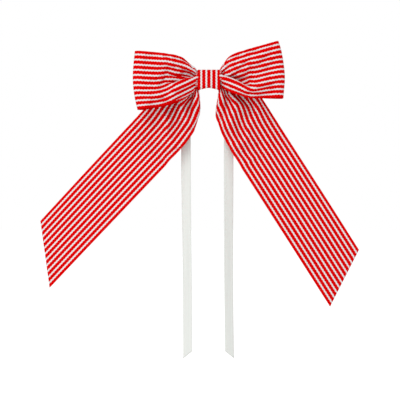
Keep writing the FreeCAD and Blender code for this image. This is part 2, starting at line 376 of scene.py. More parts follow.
def grosgrain():
    """Red and white lengthwise stripes that step from side to side with the ribs of the weave, with painted
    shade in the grooves between the ribs.
    """
    p = Pattern("striped_grosgrain", WHITE, 0.75, gloss=0.0)
    along, across = p.strip_position()
    turn = p.maths("MULTIPLY", along, 2 * math.pi / RIB)
    rib = p.maths("COSINE", turn)
    step = p.maths("SINE", p.maths("MULTIPLY", turn, 0.5))
    step = p.maths("MULTIPLY", p.maths("SIGN", step), p.maths("POWER", p.maths("ABSOLUTE", step), 0.5))
    stepped = p.maths("ADD", p.maths("SUBTRACT", across, FIRST_WHITE), p.maths("MULTIPLY", step, TOOTH))
    cycle = p.maths("DIVIDE", stepped, STRIPE_PITCH)
    off_middle = p.maths("ABSOLUTE", p.maths("SUBTRACT", cycle, p.maths("ROUND", cycle)))
    edge = p.maths("MULTIPLY", off_middle, STRIPE_PITCH)
    into_red = p.maths("SUBTRACT", edge, WHITE_HALF - STRIPE_BLUR)
    red = p.maths("MULTIPLY", into_red, 0.5 / STRIPE_BLUR, clamp=True)
    colour = p.mix(red, WHITE, RED)
    threads = p.grain(p.maths("MULTIPLY", along, 1.6), p.maths("MULTIPLY", across, 5.0))
    patches = p.grain(p.maths("MULTIPLY", along, 0.12), p.maths("MULTIPLY", across, 0.12))
    # painted shade: the colour is darkened in the grooves between the ribs, where the rib wave is lowest
    relief_shade = p.maths("MULTIPLY", p.maths("SUBTRACT", rib, 1.0), 0.035)
    amount = p.maths("ADD", p.maths("MULTIPLY", threads, 0.22), p.maths("MULTIPLY", patches, 0.10))
    p.put(p.shader.inputs["Base Color"], p.lighten(colour, p.maths("ADD", amount, relief_shade)))
    height = p.maths("ADD", p.maths("MULTIPLY", rib, 0.5), p.maths("MULTIPLY", threads, 0.6))
    p.bump(height, 0.00012)
    return p.material


def satin():
    """White satin: fine threads along the strip and soft lengthwise streaks of painted sheen."""
    p = Pattern("white_satin", SATIN, 0.34)
    along, across = p.strip_position()
    # painted sheen: soft lengthwise streaks lighten and darken the colour, and they also shape the bump
    sheen_bands = p.grain(p.maths("MULTIPLY", along, 0.02), p.maths("MULTIPLY", across, 0.9))
    threads = p.grain(p.maths("MULTIPLY", along, 0.5), p.maths("MULTIPLY", across, 9.0))
    amount = p.maths("ADD", p.maths("MULTIPLY", sheen_bands, 0.16), p.maths("MULTIPLY", threads, 0.08))
    p.put(p.shader.inputs["Base Color"], p.lighten(SATIN, amount))
    p.bump(p.maths("ADD", threads, p.maths("MULTIPLY", sheen_bands, 2.0)), 0.00006)
    return p.material


def thread():
    """Two-ply white thread: its twist runs slantwise round it, with painted shade in slantwise stripes that
    follow the twist.
    """
    p = Pattern("white_thread", THREAD, 0.6, sheen=0.3)
    place = p.new("ShaderNodeTexCoord")
    wave = p.new("ShaderNodeTexWave", bands_direction="DIAGONAL")
    p.put(wave.inputs["Vector"], place.outputs["Object"])
    p.put(wave.inputs["Scale"], 500.0)
    # painted shade: the colour is darkened in slantwise stripes that follow the twist
    relief_shade = p.maths("MULTIPLY", wave.outputs[1], -0.15)
    p.put(p.shader.inputs["Base Color"], p.lighten(THREAD, relief_shade))
    p.bump(wave.outputs[1], 0.00008)
    return p.material


def hot_glue():
    """Milky, slightly clear glue with the dimples that it sets with."""
    p = Pattern("hot_glue", GLUE, 0.3)
    p.put(p.shader.inputs["Transmission Weight"], 0.35)
    p.put(p.shader.inputs["IOR"], 1.48)
    cloud = p.noise(p.new("ShaderNodeTexCoord").outputs["Object"], 300.0, 3.0)
    p.put(p.shader.inputs["Base Color"], p.lighten(GLUE, p.maths("MULTIPLY", cloud, 0.3)))
    p.bump(cloud, 0.0003)
    return p.material


MATERIALS = {
    "striped_grosgrain": grosgrain(),
    "white_satin": satin(),
    "white_thread": thread(),
    "hot_glue": hot_glue(),
}


def finish_piece(made, slot, *nodes):
    """Give a piece its material and slot, and let it stand for CAD nodes."""
    made.data.materials.append(MATERIALS[slot])
    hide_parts(*nodes)


# --- Loops ---

# Each loop as it looks from the front, as a few (distance from the middle, height) pairs for each line.
# The front layer hangs from its top selvage to a ridge and from there to its bottom selvage. Near the knot
# some of the ribbon is tucked in under the ridge: "above" and "below" say how many millimetres across the
# ribbon, from its top selvage, the tuck starts and ends. The back layer has a top and a bottom edge.
LOOPS = {
    "left": {
        "side": -1,
        "top": [(8, 6), (12, 10), (19, 15.5), (32, 18), (48, 19.5)],
        "ridge": [(8, 3.5), (14, 1.5), (22, -1), (32, -5), (40, -5.5), (48, -5)],
        "bottom": [(8, -6), (12, -8.5), (20, -12.5), (30, -17), (48, -19.5)],
        "above": [(8, 10), (14, 15.5), (22, 19), (28, 24)],
        "below": [(8, 27), (18, 25.5), (28, 24)],
        "fold": [(48.5, 20.5), (50, 3), (49, -10), (46.5, -21)],
        "back_top": [(7.5, 5.5), (15, 12), (20, 15), (32, 17.5), (48, 18.5)],
        "back_bottom": [(9, -4.5), (12, -9), (19, -14), (33, -18), (44, -20)],
    },
    "right": {
        "side": 1,
        "top": [(8, 7.5), (11, 12.5), (15, 16.5), (25, 20), (46, 26)],
        "ridge": [(8, 4), (13, 3), (19, 0.5), (25, -2.5), (31, -3.5), (40, -1.5), (49, 0)],
        "bottom": [(8, -4.5), (11, -6.5), (17, -9), (25, -11.5), (31, -12), (49, -11.5)],
        "above": [(8, 10), (13, 12.5), (19, 19), (27, 26.5)],
        "below": [(8, 27.5), (20, 27.5), (27, 26.5)],
        "fold": [(45, 28), (48, 18), (50, 3), (49, -12)],
        "back_top": [(7.5, 6), (10.5, 11), (15.5, 16), (25, 19.5), (45, 25)],
        "back_bottom": [(7.5, -0.5), (10, -4), (14, -7), (20, -9.5), (34, -12), (47, -12.5)],
    },
}

# The loop seen from above: how far forward its two layers stand at each distance from the middle
FRONT_Y = [(7.4, -8.7), (10, -9.6), (14, -12), (20, -14.4), (27, -15.6)]
FRONT_Y += [(35, -15.2), (43, -13.8), (48, -12.6)]
BACK_Y = [(7.4, -6.2), (12, -5.8), (20, -5.6), (32, -5.8), (42, -6.8), (48, -7.9)]
FOLD_Y = -10.2
FOLD_RADIUS = 2.4
UPPER_CROWN = 6.0  # the ribbon is furthest forward at this distance from its top selvage
CREASE = 21.0  # furthest back at this one
RIDGE_CROWN = 28.9  # and forward again at this one, on the ridge below the crease
RIDGE_FORWARD = 1.4  # near the knot the ridge stands this far in front of the part above it
TUCK_DEPTH = 3.0  # the tucked part goes this far behind the ridge
TUCK_SAG = 0.433  # the sag of a shallow curve as a share of sqrt(length**2 - span**2)
CREASE_DEPTH = 0.7  # the creases further out have this share of the depth that the ribbon's width allows
LOOP_SWEEPS = 1500
RAIL_PULL, BACK_PULL = 0.25, 0.15  # how firmly the rails draw the stripes, and the back layer's edges
EDGE_PULL = 0.3  # each sweep takes back this share of what goes past an outline
FOLD_PULL = 0.1  # each sweep draws the middle row this share of the way to the fold's depth
FOLD_ROWS = 6  # this many rows each side of the middle one follow the fold's line
FRONT_LIMIT_Y = -6.8  # the front layer stays in front of this
FRONT_SLACK, BACK_SLACK = 1.6, 0.5  # each layer may stand this far outside its line seen from above
BETWEEN = 1.5  # the front layer may stand this far behind the middle between the two lines
BACK_PLEATS = [6.3, 12.6, 19.0, 25.3, 31.6]
FRONT_WAIST = (-8.2, -7.0)  # the y that each layer keeps to inside the knot
BACK_WAIST = (-6.6, -5.6)


def at(points, x):
    """The second coordinate of a polyline at the first one's value or values."""
    p = np.array(points, float)
    return np.interp(x, p[:, 0], p[:, 1])


def at_smooth(points, x):
    """The same on a smooth line through the points."""
    return at(smooth_line(points), x)


def rises(heights, turns, sign):
    """Depth across a section: what each step lacks in height goes into depth, turning over at the turns."""
    lacking = np.sqrt(np.maximum(COLUMN**2 - np.diff(heights) ** 2, 0))
    middle = (ACROSS[:-1] + ACROSS[1:]) / 2
    signs = np.full(len(middle), sign, float)
    for turn in turns:
        signs[middle > turn] *= -1
    return np.concatenate([[0], np.cumsum(lacking * signs)])


def loop_heights(loop, distance):
    """For each column, the front layer's height at a distance from the middle and whether it shows there."""
    top, ridge, bottom = (at_smooth(loop[line], distance) for line in ("top", "ridge", "bottom"))
    above, below = at(loop["above"], distance), at(loop["below"], distance)
    bunched = 1.5 - 0.5 * smooth_step(distance, 8, 18)  # the top selvage draws the stripes up at the knot
    upper = top + (ridge - top) * np.clip(ACROSS / above, 0, 1) ** bunched
    lower = ridge + (bottom - ridge) * np.clip((ACROSS - below) / (RIBBON_WIDTH - below), 0, 1)
    return np.where(ACROSS <= above, upper, lower), (ACROSS <= above) | (ACROSS >= below)


def front_section(loop, distance, crown_y):
    """Height and depth across the front layer at a distance from the middle."""
    heights, shown = loop_heights(loop, distance)
    if shown.all():
        rise = rises(heights, [UPPER_CROWN, CREASE, RIDGE_CROWN], -1)
        return heights, crown_y + (rise - rise.min()) * CREASE_DEPTH
    depths = np.empty(COLUMNS)
    a = np.flatnonzero(~shown)[0] - 1
    b = np.flatnonzero(~shown)[-1] + 1
    above, below = slice(0, a + 1), slice(b, COLUMNS)
    for span, crown, forward in ((above, UPPER_CROWN, 0.0), (below, RIDGE_CROWN, RIDGE_FORWARD)):
        rise = rises(heights, [crown], -1)[span]
        depths[span] = crown_y + rise - rise.min() - forward
    # what is tucked in between sags behind the ridge
    start, end = np.array([[heights[c], depths[c]] for c in (a, b)])
    length = (b - a) * COLUMN
    sag = TUCK_SAG * math.sqrt(max(length**2 - ((end - start) ** 2).sum(), 0))
    t = np.linspace(0, 1, b - a + 1)
    heights[a : b + 1] = start[0] + (end[0] - start[0]) * t - sag * np.sin(np.pi * t)
    depths[a : b + 1] = start[1] + (end[1] - start[1]) * t + TUCK_DEPTH * np.sin(np.pi * t)
    return heights, depths


def loop_rails(loop, fold_reach, fold_heights):
    """{column: line} of the stripes and selvages where they show on the front layer."""
    distances = np.linspace(KNOT_EDGE, 46.0, 78)
    sections = [loop_heights(loop, distance) for distance in distances]
    rails = {}
    for number in range(WHITES + 2):
        c = stripe_column(number)
        line = [(loop["side"] * d, z[c]) for d, (z, shown) in zip(distances, sections) if shown[c]]
        line.append((loop["side"] * fold_reach[c], fold_heights[c]))
        rails[c] = resample(np.array(line), spacing=0.5)
    return rails


def loop_draft(loop, fold_reach, fold_heights):
    """Rows of a loop from the knot round its fold and back, roughly in place, as seen by the camera."""
    side = loop["side"]
    distances = np.linspace(KNOT_EDGE, 43.0, 34)
    sections = np.array([front_section(loop, d, at(FRONT_Y, d)) for d in distances])
    for _ in range(4):  # evens out the steps where a stripe comes into sight
        sections[1:-1] = (sections[:-2] + 2 * sections[1:-1] + sections[2:]) / 4
    rows = [np.stack([np.full(COLUMNS, side * d), y, z], 1) for d, (z, y) in zip(distances, sections)]
    fold_middle = side * (fold_reach - FOLD_RADIUS)
    fold_start = np.stack([fold_middle, np.full(COLUMNS, FOLD_Y - FOLD_RADIUS), fold_heights], 1)
    last = rows[-1]
    rows += [last + (fold_start - last) * t for t in np.linspace(0.2, 1.0, 5)]
    for angle in np.radians(np.linspace(20, 180, 9)):
        x = fold_middle + side * FOLD_RADIUS * math.sin(angle)
        y = np.full(COLUMNS, FOLD_Y - FOLD_RADIUS * math.cos(angle))
        rows.append(np.stack([x, y, fold_heights], 1))
    for distance in np.linspace(45.0, KNOT_EDGE, 34):
        heights = np.linspace(at(loop["back_top"], distance), at(loop["back_bottom"], distance), COLUMNS)
        rise = rises(heights, BACK_PLEATS, -1)
        near_fold = np.clip((distance - 8) / 30, 0, 1)
        reach = distance * (1 - near_fold) + (distance - 45.0 + fold_reach - 2.6) * near_fold
        depths = at(BACK_Y, distance) + np.clip(rise - rise.max(), -3.0, 0)
        rows.append(np.stack([side * reach, depths, heights], 1))
    return np.array(rows)


def inside_knot(edge, side, waist_y, reach):
    """Rows that carry a ribbon's edge on from the knot's side to its middle, squeezed into the waist."""
    rows = []
    for t in np.linspace(0.0, 1.0, 8, endpoint=False):
        row = edge.copy()
        row[:, 0] = side * reach * t
        row[:, 1] = np.clip(row[:, 1], *waist_y)
        row[:, 2] = np.clip(row[:, 2], -WAIST_Z, WAIST_Z)
        rows.append(row)
    return np.array(rows)


def build_loop(name, loop):
    """A loop's ribbon, from the middle of the knot out, round the fold and back to the middle."""
    side = loop["side"]
    fold = smooth_line(loop["fold"])[::-1]
    top, bottom = loop["top"][-1][1], loop["bottom"][-1][1]
    fold_heights = top + (bottom - top) * ACROSS / RIBBON_WIDTH
    fold_reach = np.interp(fold_heights, fold[:, 1], fold[:, 0])
    draft = from_view(loop_draft(loop, fold_reach, fold_heights))
    lengths = np.array([line_length(draft[:, c]) for c in range(COLUMNS)])
    total = float(np.median(lengths))
    trend = np.polyval(np.polyfit(ACROSS, lengths, 3), ACROSS)
    rows = int(round(total / ROW)) + 1
    row_length = trend / (rows - 1)
    grid = np.stack([resample(draft[:, c], count=rows) for c in range(COLUMNS)], 1)
    free = np.ones((rows, COLUMNS))
    free[:2] = free[-2:] = 0
    middle = rows // 2
    front_rails = RailGuide(loop_rails(loop, fold_reach, fold_heights), (2, middle - 3), RAIL_PULL)
    back_top, back_bottom = (smooth_line(loop[edge]) * (side, 1) for edge in ("back_top", "back_bottom"))
    back_rails = RailGuide({0: back_top, COLUMNS - 1: back_bottom}, (middle + 5, rows - 2), BACK_PULL)
    front, back = slice(2, middle - 4), slice(middle + 5, rows - 2)

    def guide(grid):
        grid[:] = to_view(grid)
        front_rails.apply(grid, free)
        back_rails.apply(grid, free)
        # the fold stays on its line, whichever row of the strip comes to it
        outermost = np.abs(grid[middle - FOLD_ROWS : middle + FOLD_ROWS + 1, :, 0]).max(0)
        limit = np.interp(grid[middle, :, 2], fold[:, 1], fold[:, 0])
        shift = (limit - outermost) * EDGE_PULL * side
        for offset in range(-FOLD_ROWS, FOLD_ROWS + 1):
            grid[middle + offset, :, 0] += shift * (1 - abs(offset) / (FOLD_ROWS + 1))
        grid[middle, :, 1] += (FOLD_Y - grid[middle, :, 1]) * FOLD_PULL
        distance = np.abs(grid[..., 0])
        low, high = at(FRONT_Y, distance), at(BACK_Y, distance)
        between = (low + high) / 2 + BETWEEN
        backmost = np.minimum(between, FRONT_LIMIT_Y)
        grid[front, :, 1] = np.clip(grid[front, :, 1], (low - FRONT_SLACK)[front], backmost[front])
        grid[back, :, 1] = np.clip(grid[back, :, 1], (between - BETWEEN)[back], (high + BACK_SLACK)[back])
        grid[:] = from_view(grid)

    sweeps = LOOP_SWEEPS
    relax(grid, free, row_length, sweeps, guide, bend_along=0.6, bend_across=0.15)
    start = inside_knot(grid[0], side, FRONT_WAIST, KNOT_SIDE)
    end = inside_knot(grid[-1], side, BACK_WAIST, KNOT_SIDE)[::-1]
    grid = np.concatenate([start, grid, end])
    fine = refine(refine(grid, 0), 1)
    across = np.arange(fine.shape[1])[None] * COLUMN / 2
    along = np.arange(fine.shape[0])[:, None] * np.interp(across, ACROSS, row_length) / 2
    return ribbon_mesh(name, fine, along, across), total + 2 * KNOT_SIDE


def make_loops():
    for name, waist_node in (("left", "loop_waist"), ("right", "loop_lap")):
        loop = LOOPS[name]
        made, length = build_loop(f"loop_{name}_ribbon", loop)
        finish_piece(made, "striped_grosgrain", "loop_" + name, waist_node)
        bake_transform(made)


# --- Tails ---

# Each tail as it looks from the front, with x as the distance from the middle. Inside its middle line its
# stripes lie "spread" apart at each height, and turn back where they come to its inner outline. Outside it
# they lie evenly as far as the outer edge, which runs straight on up from the flat part. Below the gathers
# the tail is flat between its two corners there and its two tips, the inner one first.
TAILS = {
    "left": {
        "side": -1,
        "middle": [(12, -7), (14, -11), (20, -16), (23.5, -22), (27, -28), (34, -36)],
        "spread": [(-42, 4.2), (-36, 4.0), (-28, 3.6), (-16, 3.2), (-12, 2.2), (-8, 1.4)],
        "outline": [(9, -32), (7, -26), (5.5, -17), (6.5, -8)],
        "corners": [(29.5, -57.5), (55.5, -33)],
        "tips": [(105, -137), (111, -93)],
    },
    "right": {
        "side": 1,
        "middle": [(12, -7), (15, -11), (20, -16), (22.5, -22), (24.5, -28), (29, -36)],
        "spread": [(-48, 3.7), (-36, 3.5), (-28, 3.2), (-16, 3.4), (-11, 2.2), (-7, 1.4)],
        "outline": [(6.5, -32), (4.5, -24), (5, -16), (6.5, -8)],
        "corners": [(22.5, -59.5), (53, -40)],
        "tips": [(80, -149.5), (99, -112)],
    },
}
TAIL_LEVELS = np.arange(-6.0, -50.1, -2.0)  # the heights at which a tail's stripes are placed
TURN_BACK = 0.25  # past the inner outline the ribbon comes back by this share of what it would have gone

# The height at which each distance from the inner selvage leaves the knot
TAIL_WAIST = [(0, -1.5), (3, -3.6), (6, -4.5), (9, -3.2), (12, -1.0), (38, 4.5)]
# The gathers turn over at these distances from the inner selvage
TAIL_PLEATS = [8.0, 13.0, 19.0, 26.0, 33.0]
TAIL_LENGTH_GATHERED = 62.0
TAIL_SWEEPS = 1200
GATHER_LENGTH = 14.0  # within this far of the knot the tail is narrower than its full width
TAIL_Y = -4.5  # the depth at which a tail leaves the knot
TAIL_WAIST_Y = (-5.0, -4.1)  # the depths that it keeps to inside the knot
TAIL_BOW = 2.0  # the middle of the flat part stands this far forward of its ends
UNDER_LOOP_Y = -4.4  # the tail stays behind this under the loop
TIE_FRONT_Y = 0.5  # and in front of this where the tie hangs


def tail_corners(tail):
    """The flat part's corners and tips in space, inner one first, and how far back the outer corner is.

    Each end looks narrower than the ribbon is, and what it lacks is the depth between its two edges.
    """
    side = tail["side"]
    run = np.subtract(np.mean(tail["tips"], 0), np.mean(tail["corners"], 0))
    run /= np.linalg.norm(run)
    flat, turns = [], []
    for inner, outer in (tail["corners"], tail["tips"]):
        across = np.subtract(outer, inner)
        seen = across[0] * run[1] - across[1] * run[0]
        turn = math.sqrt(RIBBON_WIDTH**2 - seen**2) / 2
        flat.append([(side * inner[0], -turn, inner[1]), (side * outer[0], turn, outer[1])])
        turns.append(turn)
    return from_view(np.array(flat)), turns[0]


def flat_rows(corners, count):
    """Rows of the flat part from its corners to its tips, bowed a little forward in the middle."""
    share = (ACROSS / RIBBON_WIDTH)[:, None]
    start = corners[0, 0] + (corners[0, 1] - corners[0, 0]) * share
    end = corners[1, 0] + (corners[1, 1] - corners[1, 0]) * share
    t = np.linspace(0, 1, count)[:, None, None]
    rows = start + (end - start) * t
    rows[..., 1] -= TAIL_BOW * np.sin(np.pi * t[..., 0])
    return rows, np.linalg.norm(end - start, axis=1)


def tail_depth(rows, turned):
    """The depth that a gathered tail keeps near: level at the knot, and turned where it becomes flat."""
    level = smooth_step(np.linspace(0, TAIL_LENGTH_GATHERED, rows), 8.0, 56.0)[:, None]
    flat = (2 * ACROSS / RIBBON_WIDTH - 1) * turned
    return TAIL_Y + (flat[None] - TAIL_Y) * level


def tail_rails(name, tail):
    """{column: (x, z) points} of the stripes and selvages where they show below the loop."""
    side = tail["side"]
    corner = np.mean(tail["corners"], 0)
    run = np.mean(tail["tips"], 0) - corner
    beyond = corner + run * 0.1
    outer = tail["corners"][1][0] + (TAIL_LEVELS - tail["corners"][1][1]) * run[0] / run[1]
    middle = smooth_line(tail["middle"] + [tuple(corner), tuple(beyond)])[::-1]
    middle_x = np.interp(TAIL_LEVELS, middle[:, 1], middle[:, 0])
    outline = smooth_line(tail["outline"])
    edge = np.interp(TAIL_LEVELS, outline[:, 1], outline[:, 0], left=0.0)
    rails = {}
    for number in range(WHITES + 2):
        c = stripe_column(number)
        beside = ACROSS[c] - RIBBON_WIDTH / 2
        if beside < 0:
            x = middle_x + beside / STRIPE_PITCH * at(tail["spread"], TAIL_LEVELS)
        else:
            x = middle_x + (outer - middle_x) * beside / (RIBBON_WIDTH / 2)
        x = np.where(x < edge, edge + (edge - x) * TURN_BACK, x)
        shown = TAIL_LEVELS < at(LOOPS[name]["bottom"], x) + 0.5
        rails[c] = np.stack([side * x, TAIL_LEVELS], 1)[shown]
    return rails


def tail_draft(tail, rails, corner_row, rows, depth, width):
    """Rows of the gathered part from the knot to the flat part, roughly in place."""
    side = tail["side"]
    seen_corner = to_view(corner_row)
    direction = np.subtract(np.mean(tail["tips"], 0), np.mean(tail["corners"], 0)) * (side, 1)
    direction /= np.linalg.norm(direction)
    lines = []
    for column, rail in rails.items():
        x, z = side * KNOT_EDGE, at(TAIL_WAIST, ACROSS[column])
        last = tuple(seen_corner[column][[0, 2]])
        shown = [tuple(p) for p in rail[::2] if np.dot(np.subtract(last, p), direction) > 3.0]
        lines.append(resample(smooth_line([(x, z)] + shown + [last]), count=rows))
    lines = np.array(lines)
    columns = list(rails)
    flat = np.empty((rows, COLUMNS, 2))
    for row in range(rows):
        for k in range(2):
            flat[row, :, k] = np.interp(np.arange(COLUMNS), columns, lines[:, row, k])
    waist = at(TAIL_WAIST, ACROSS)
    leaving = 1 - smooth_step(np.arange(rows), 0, 6)[:, None]
    flat[..., 1] += (waist - flat[0, :, 1]) * leaving
    spacing = np.linalg.norm(np.diff(flat, axis=1), axis=-1)
    lacking = np.sqrt(np.maximum((COLUMN * width[:, None]) ** 2 - spacing**2, 0))
    signs = np.full(COLUMNS - 1, -1.0)
    for turn in TAIL_PLEATS:
        signs[ACROSS[1:] > turn] *= -1
    rise = np.concatenate([np.zeros((rows, 1)), np.cumsum(lacking * signs, axis=1)], 1)
    rise -= rise.mean(1, keepdims=True)
    room = 0.5 + 3.0 * smooth_step(np.arange(rows), 0, 16)[:, None]
    return np.stack([flat[..., 0], depth + np.clip(rise, -room, room), flat[..., 1]], -1)


def build_tail(name, tail):
    """A tail's ribbon from the middle of the knot to its slanting cut end."""
    side = tail["side"]
    corners, turned = tail_corners(tail)
    run = corners[1].mean(0) - corners[0].mean(0)
    flat, lengths = flat_rows(corners, 40)
    rows = int(round(TAIL_LENGTH_GATHERED / ROW)) + 1
    row_length = TAIL_LENGTH_GATHERED / (rows - 1)
    along = np.arange(rows) * row_length
    narrowing = 0.3 + 0.7 * smooth_step(along, 0, GATHER_LENGTH)
    depth = tail_depth(rows, turned)
    rail_points = tail_rails(name, tail)
    grid = from_view(tail_draft(tail, rail_points, flat[0], rows, depth, narrowing))
    # the last rows are already flat
    direction = (flat[1] - flat[0]) / np.linalg.norm(flat[1] - flat[0], axis=1, keepdims=True)
    for k in (1, 2):
        grid[-k] = flat[0] - direction * row_length * (k - 1)
    free = np.ones((rows, COLUMNS))
    free[:2] = free[-2:] = 0
    lines = {c: smooth_line(points) for c, points in rail_points.items()}
    rails = RailGuide(lines, (2, rows - 2), RAIL_PULL)
    outline = smooth_line(tail["outline"])
    loop_bottom = LOOPS[name]["bottom"]
    room = 0.6 + 5.0 * smooth_step(along, 0, 16)[:, None]

    def guide(grid):
        grid[:] = to_view(grid)
        rails.apply(grid, free)
        x, z = np.abs(grid[..., 0]), grid[..., 2]
        beyond = np.interp(z, outline[:, 1], outline[:, 0], left=0.0, right=0.0) - x
        grid[..., 0] += side * np.maximum(beyond, 0) * EDGE_PULL * free
        low, high = depth - room, depth + room
        low = np.where(z > at(loop_bottom, x) - 1.0, np.maximum(low, UNDER_LOOP_Y), low)
        low = np.where((x < 9.5) & (z < -6), depth - room, low)
        high = np.where((x > 9) & (x < 20) & (z > -50), np.minimum(high, TIE_FRONT_Y), high)
        kept = np.clip(grid[..., 1], low, np.maximum(low, high))
        grid[..., 1] += (kept - grid[..., 1]) * free
        grid[:] = from_view(grid)

    relax(grid, free, row_length, TAIL_SWEEPS, guide, narrowing)
    start = inside_knot(grid[0], side, TAIL_WAIST_Y, KNOT_SIDE)
    whole = np.concatenate([start, grid, flat[1:]])
    fine = refine(refine(whole, 0), 1)
    far = TAIL_LENGTH_GATHERED + np.linspace(0, 1, len(flat))[1:, None] * lengths
    near = np.repeat(np.concatenate([along[:8] - along[8], along])[:, None], COLUMNS, 1)
    travelled = refine(refine(np.concatenate([near, far])[..., None], 0), 1)[..., 0]
    across = np.arange(fine.shape[1])[None] * COLUMN / 2
    return ribbon_mesh(f"tail_{name}_ribbon", fine, travelled, across), lengths, run


def make_tails():
    for name, tail in TAILS.items():
        made, lengths, run = build_tail(name, tail)
        nodes = ["tail_" + name, "tail_gather_" + name] + (["tail_waist"] if name == "left" else [])
        finish_piece(made, "striped_grosgrain", *nodes)
        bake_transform(made)


# --- Knot ---

WRAP_SHEET = 0.34  # the wrap is the ribbon folded in three, and its layers are this far apart
WRAP_MIDDLE = 17.325  # the front of the knot has this distance from the first selvage in its middle
WRAP_CORNER = 2.6
WRAP_LAP = 2.0
WRAP_SKIN = 0.17  # from the outer face to the middle of the outermost layer
WRAP_STACK = 1.3  # the inner end lies this far under the outer end
WRAP_BULGE = 0.55  # the sides of the front stand this far behind its middle


def round_route(points, radius, spacing=0.5):
    """A run through the (y, z) corners with each corner rounded, as evenly spaced points."""
    p = [np.array(point, float) for point in points]
    out = [p[0]]
    for before, corner, after in zip(p, p[1:], p[2:]):
        a = (before - corner) / np.linalg.norm(before - corner)
        b = (after - corner) / np.linalg.norm(after - corner)
        start, end = corner + a * radius, corner + b * radius
        centre = corner + (a + b) * radius
        for t in np.linspace(0, math.pi / 2, 9):
            out.append(centre - b * radius * math.cos(t) - a * radius * math.sin(t))
    out.append(p[-1])
    return resample(np.array(out), spacing=spacing)


def letter_fold():
    """(x, depth, distance across) of the ribbon folded in three, with its front face at depth 0."""
    half = KNOT_SIDE - 0.35
    left_flap = WRAP_MIDDLE - half - math.pi * WRAP_SHEET / 2
    right_flap = RIBBON_WIDTH - WRAP_MIDDLE - half - math.pi * WRAP_SHEET
    points = [(-half + left_flap, WRAP_SHEET), (-half, WRAP_SHEET)]
    for angle in np.linspace(0.2, math.pi - 0.2, 6):
        points.append((-half - WRAP_SHEET / 2 * math.sin(angle), WRAP_SHEET / 2 * (1 + math.cos(angle))))
    points += [(-half, 0.0), (half, 0.0)]
    for angle in np.linspace(0.2, math.pi - 0.2, 6):
        points.append((half + WRAP_SHEET * math.sin(angle), WRAP_SHEET * (1 - math.cos(angle))))
    points += [(half, 2 * WRAP_SHEET), (half - right_flap, 2 * WRAP_SHEET)]
    line = resample(np.array(points), spacing=0.4)
    return line, np.linspace(0, RIBBON_WIDTH, len(line))


def make_wrap():
    """The band round the waist. Its outer end laps over its inner end behind."""
    low, high = WRAP_LOW, WRAP_HIGH
    top, bottom = high[2] - WRAP_SKIN, low[2] + WRAP_SKIN
    front, back = low[1] + WRAP_SKIN, high[1] - WRAP_SKIN
    inner_back = back - WRAP_STACK
    first = [(inner_back, WRAP_LAP), (inner_back, bottom), (front, bottom)]
    route = round_route(first + [(front, top), (back, top), (back, -WRAP_LAP)], WRAP_CORNER)
    tangent = np.gradient(route, axis=0)
    tangent /= np.linalg.norm(tangent, axis=1, keepdims=True)
    inward = np.stack([tangent[:, 1], -tangent[:, 0]], 1)
    centre = np.array([low[1] / 2, 0.0])
    inward *= np.sign(np.einsum("ij,ij->i", inward, centre - route))[:, None]
    section, distance = letter_fold()
    grid = np.empty((len(route), len(section), 3))
    grid[..., 0] = section[None, :, 0]
    grid[..., 1:] = route[:, None] + inward[:, None] * section[None, :, 1, None]
    u = grid[..., 0] / KNOT_SIDE
    # the front bulges over the gathers, and the bottom edge draws up in the middle
    facing = smooth_step(-grid[..., 1], 7.0, 9.5)
    grid[..., 1] += facing * WRAP_BULGE * u**2
    below = smooth_step(-grid[..., 2], 1.0, 6.0)
    grid[..., 2] += below * (0.75 - 1.6 * np.abs(u) ** 1.3)
    along = np.arange(len(route))[:, None] * 0.5
    made = ribbon_mesh("knot_wrap_band", grid, along, distance[None], half_thick=0.155)
    finish_piece(made, "striped_grosgrain", "knot_wrap")
    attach(made, "knot")


def assign(node, slot):
    """Give a CAD node that stays in view its material."""
    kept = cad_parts[node]
    kept.data.materials.clear()
    kept.data.materials.append(MATERIALS[slot])


# --- Ties ---

SATIN_WIDTH = 6.3
SATIN_HALF_THICK = 0.15
TIE_TURN = 0.42  # each leg turns this far about its length as it hangs, in radians
BRIDGE_Y, FOLD_Y_TIE = -3.1, 0.9
# The routes of the two legs from the mitre folds beside the knot to their cut ends, in metres
TIES = {
    "left": [
        (-0.0145, 0.0013, -0.0044), (-0.0147, 0.0019, -0.011),
        (-0.0149, 0.0031, -0.020), (-0.0151, 0.0034, -0.036),
        (-0.0150, 0.0026, -0.064), (-0.0146, 0.0036, -0.100),
        (-0.0140, 0.0027, -0.142), (-0.0139, 0.0032, -0.184),
    ],
    "right": [
        (0.0136, 0.0013, -0.0044), (0.0135, 0.0020, -0.011),
        (0.0133, 0.0033, -0.021), (0.0131, 0.0031, -0.042),
        (0.0131, 0.0039, -0.076), (0.0131, 0.0026, -0.114),
        (0.0133, 0.0033, -0.152), (0.0138, 0.0038, -0.184),
    ],
}
TIE_SLANT = 4.8


def spline_points(points):
    """Points along the smooth line that has the route's points as its control points, in metres."""
    curve = bpy.data.curves.new("route", "CURVE")
    curve.dimensions = "3D"
    spline = curve.splines.new("NURBS")
    spline.points.add(len(points) - 1)
    for point, place in zip(spline.points, points):
        point.co = (*place, 1)
    spline.order_u = 3
    spline.use_endpoint_u = True
    spline.resolution_u = 16
    holder = bpy.data.objects.new("route", curve)
    mesh = bpy.data.meshes.new_from_object(holder)
    line = np.array([v.co for v in mesh.vertices], float)
    bpy.data.objects.remove(holder)
    bpy.data.curves.remove(curve)
    bpy.data.meshes.remove(mesh)
    return line


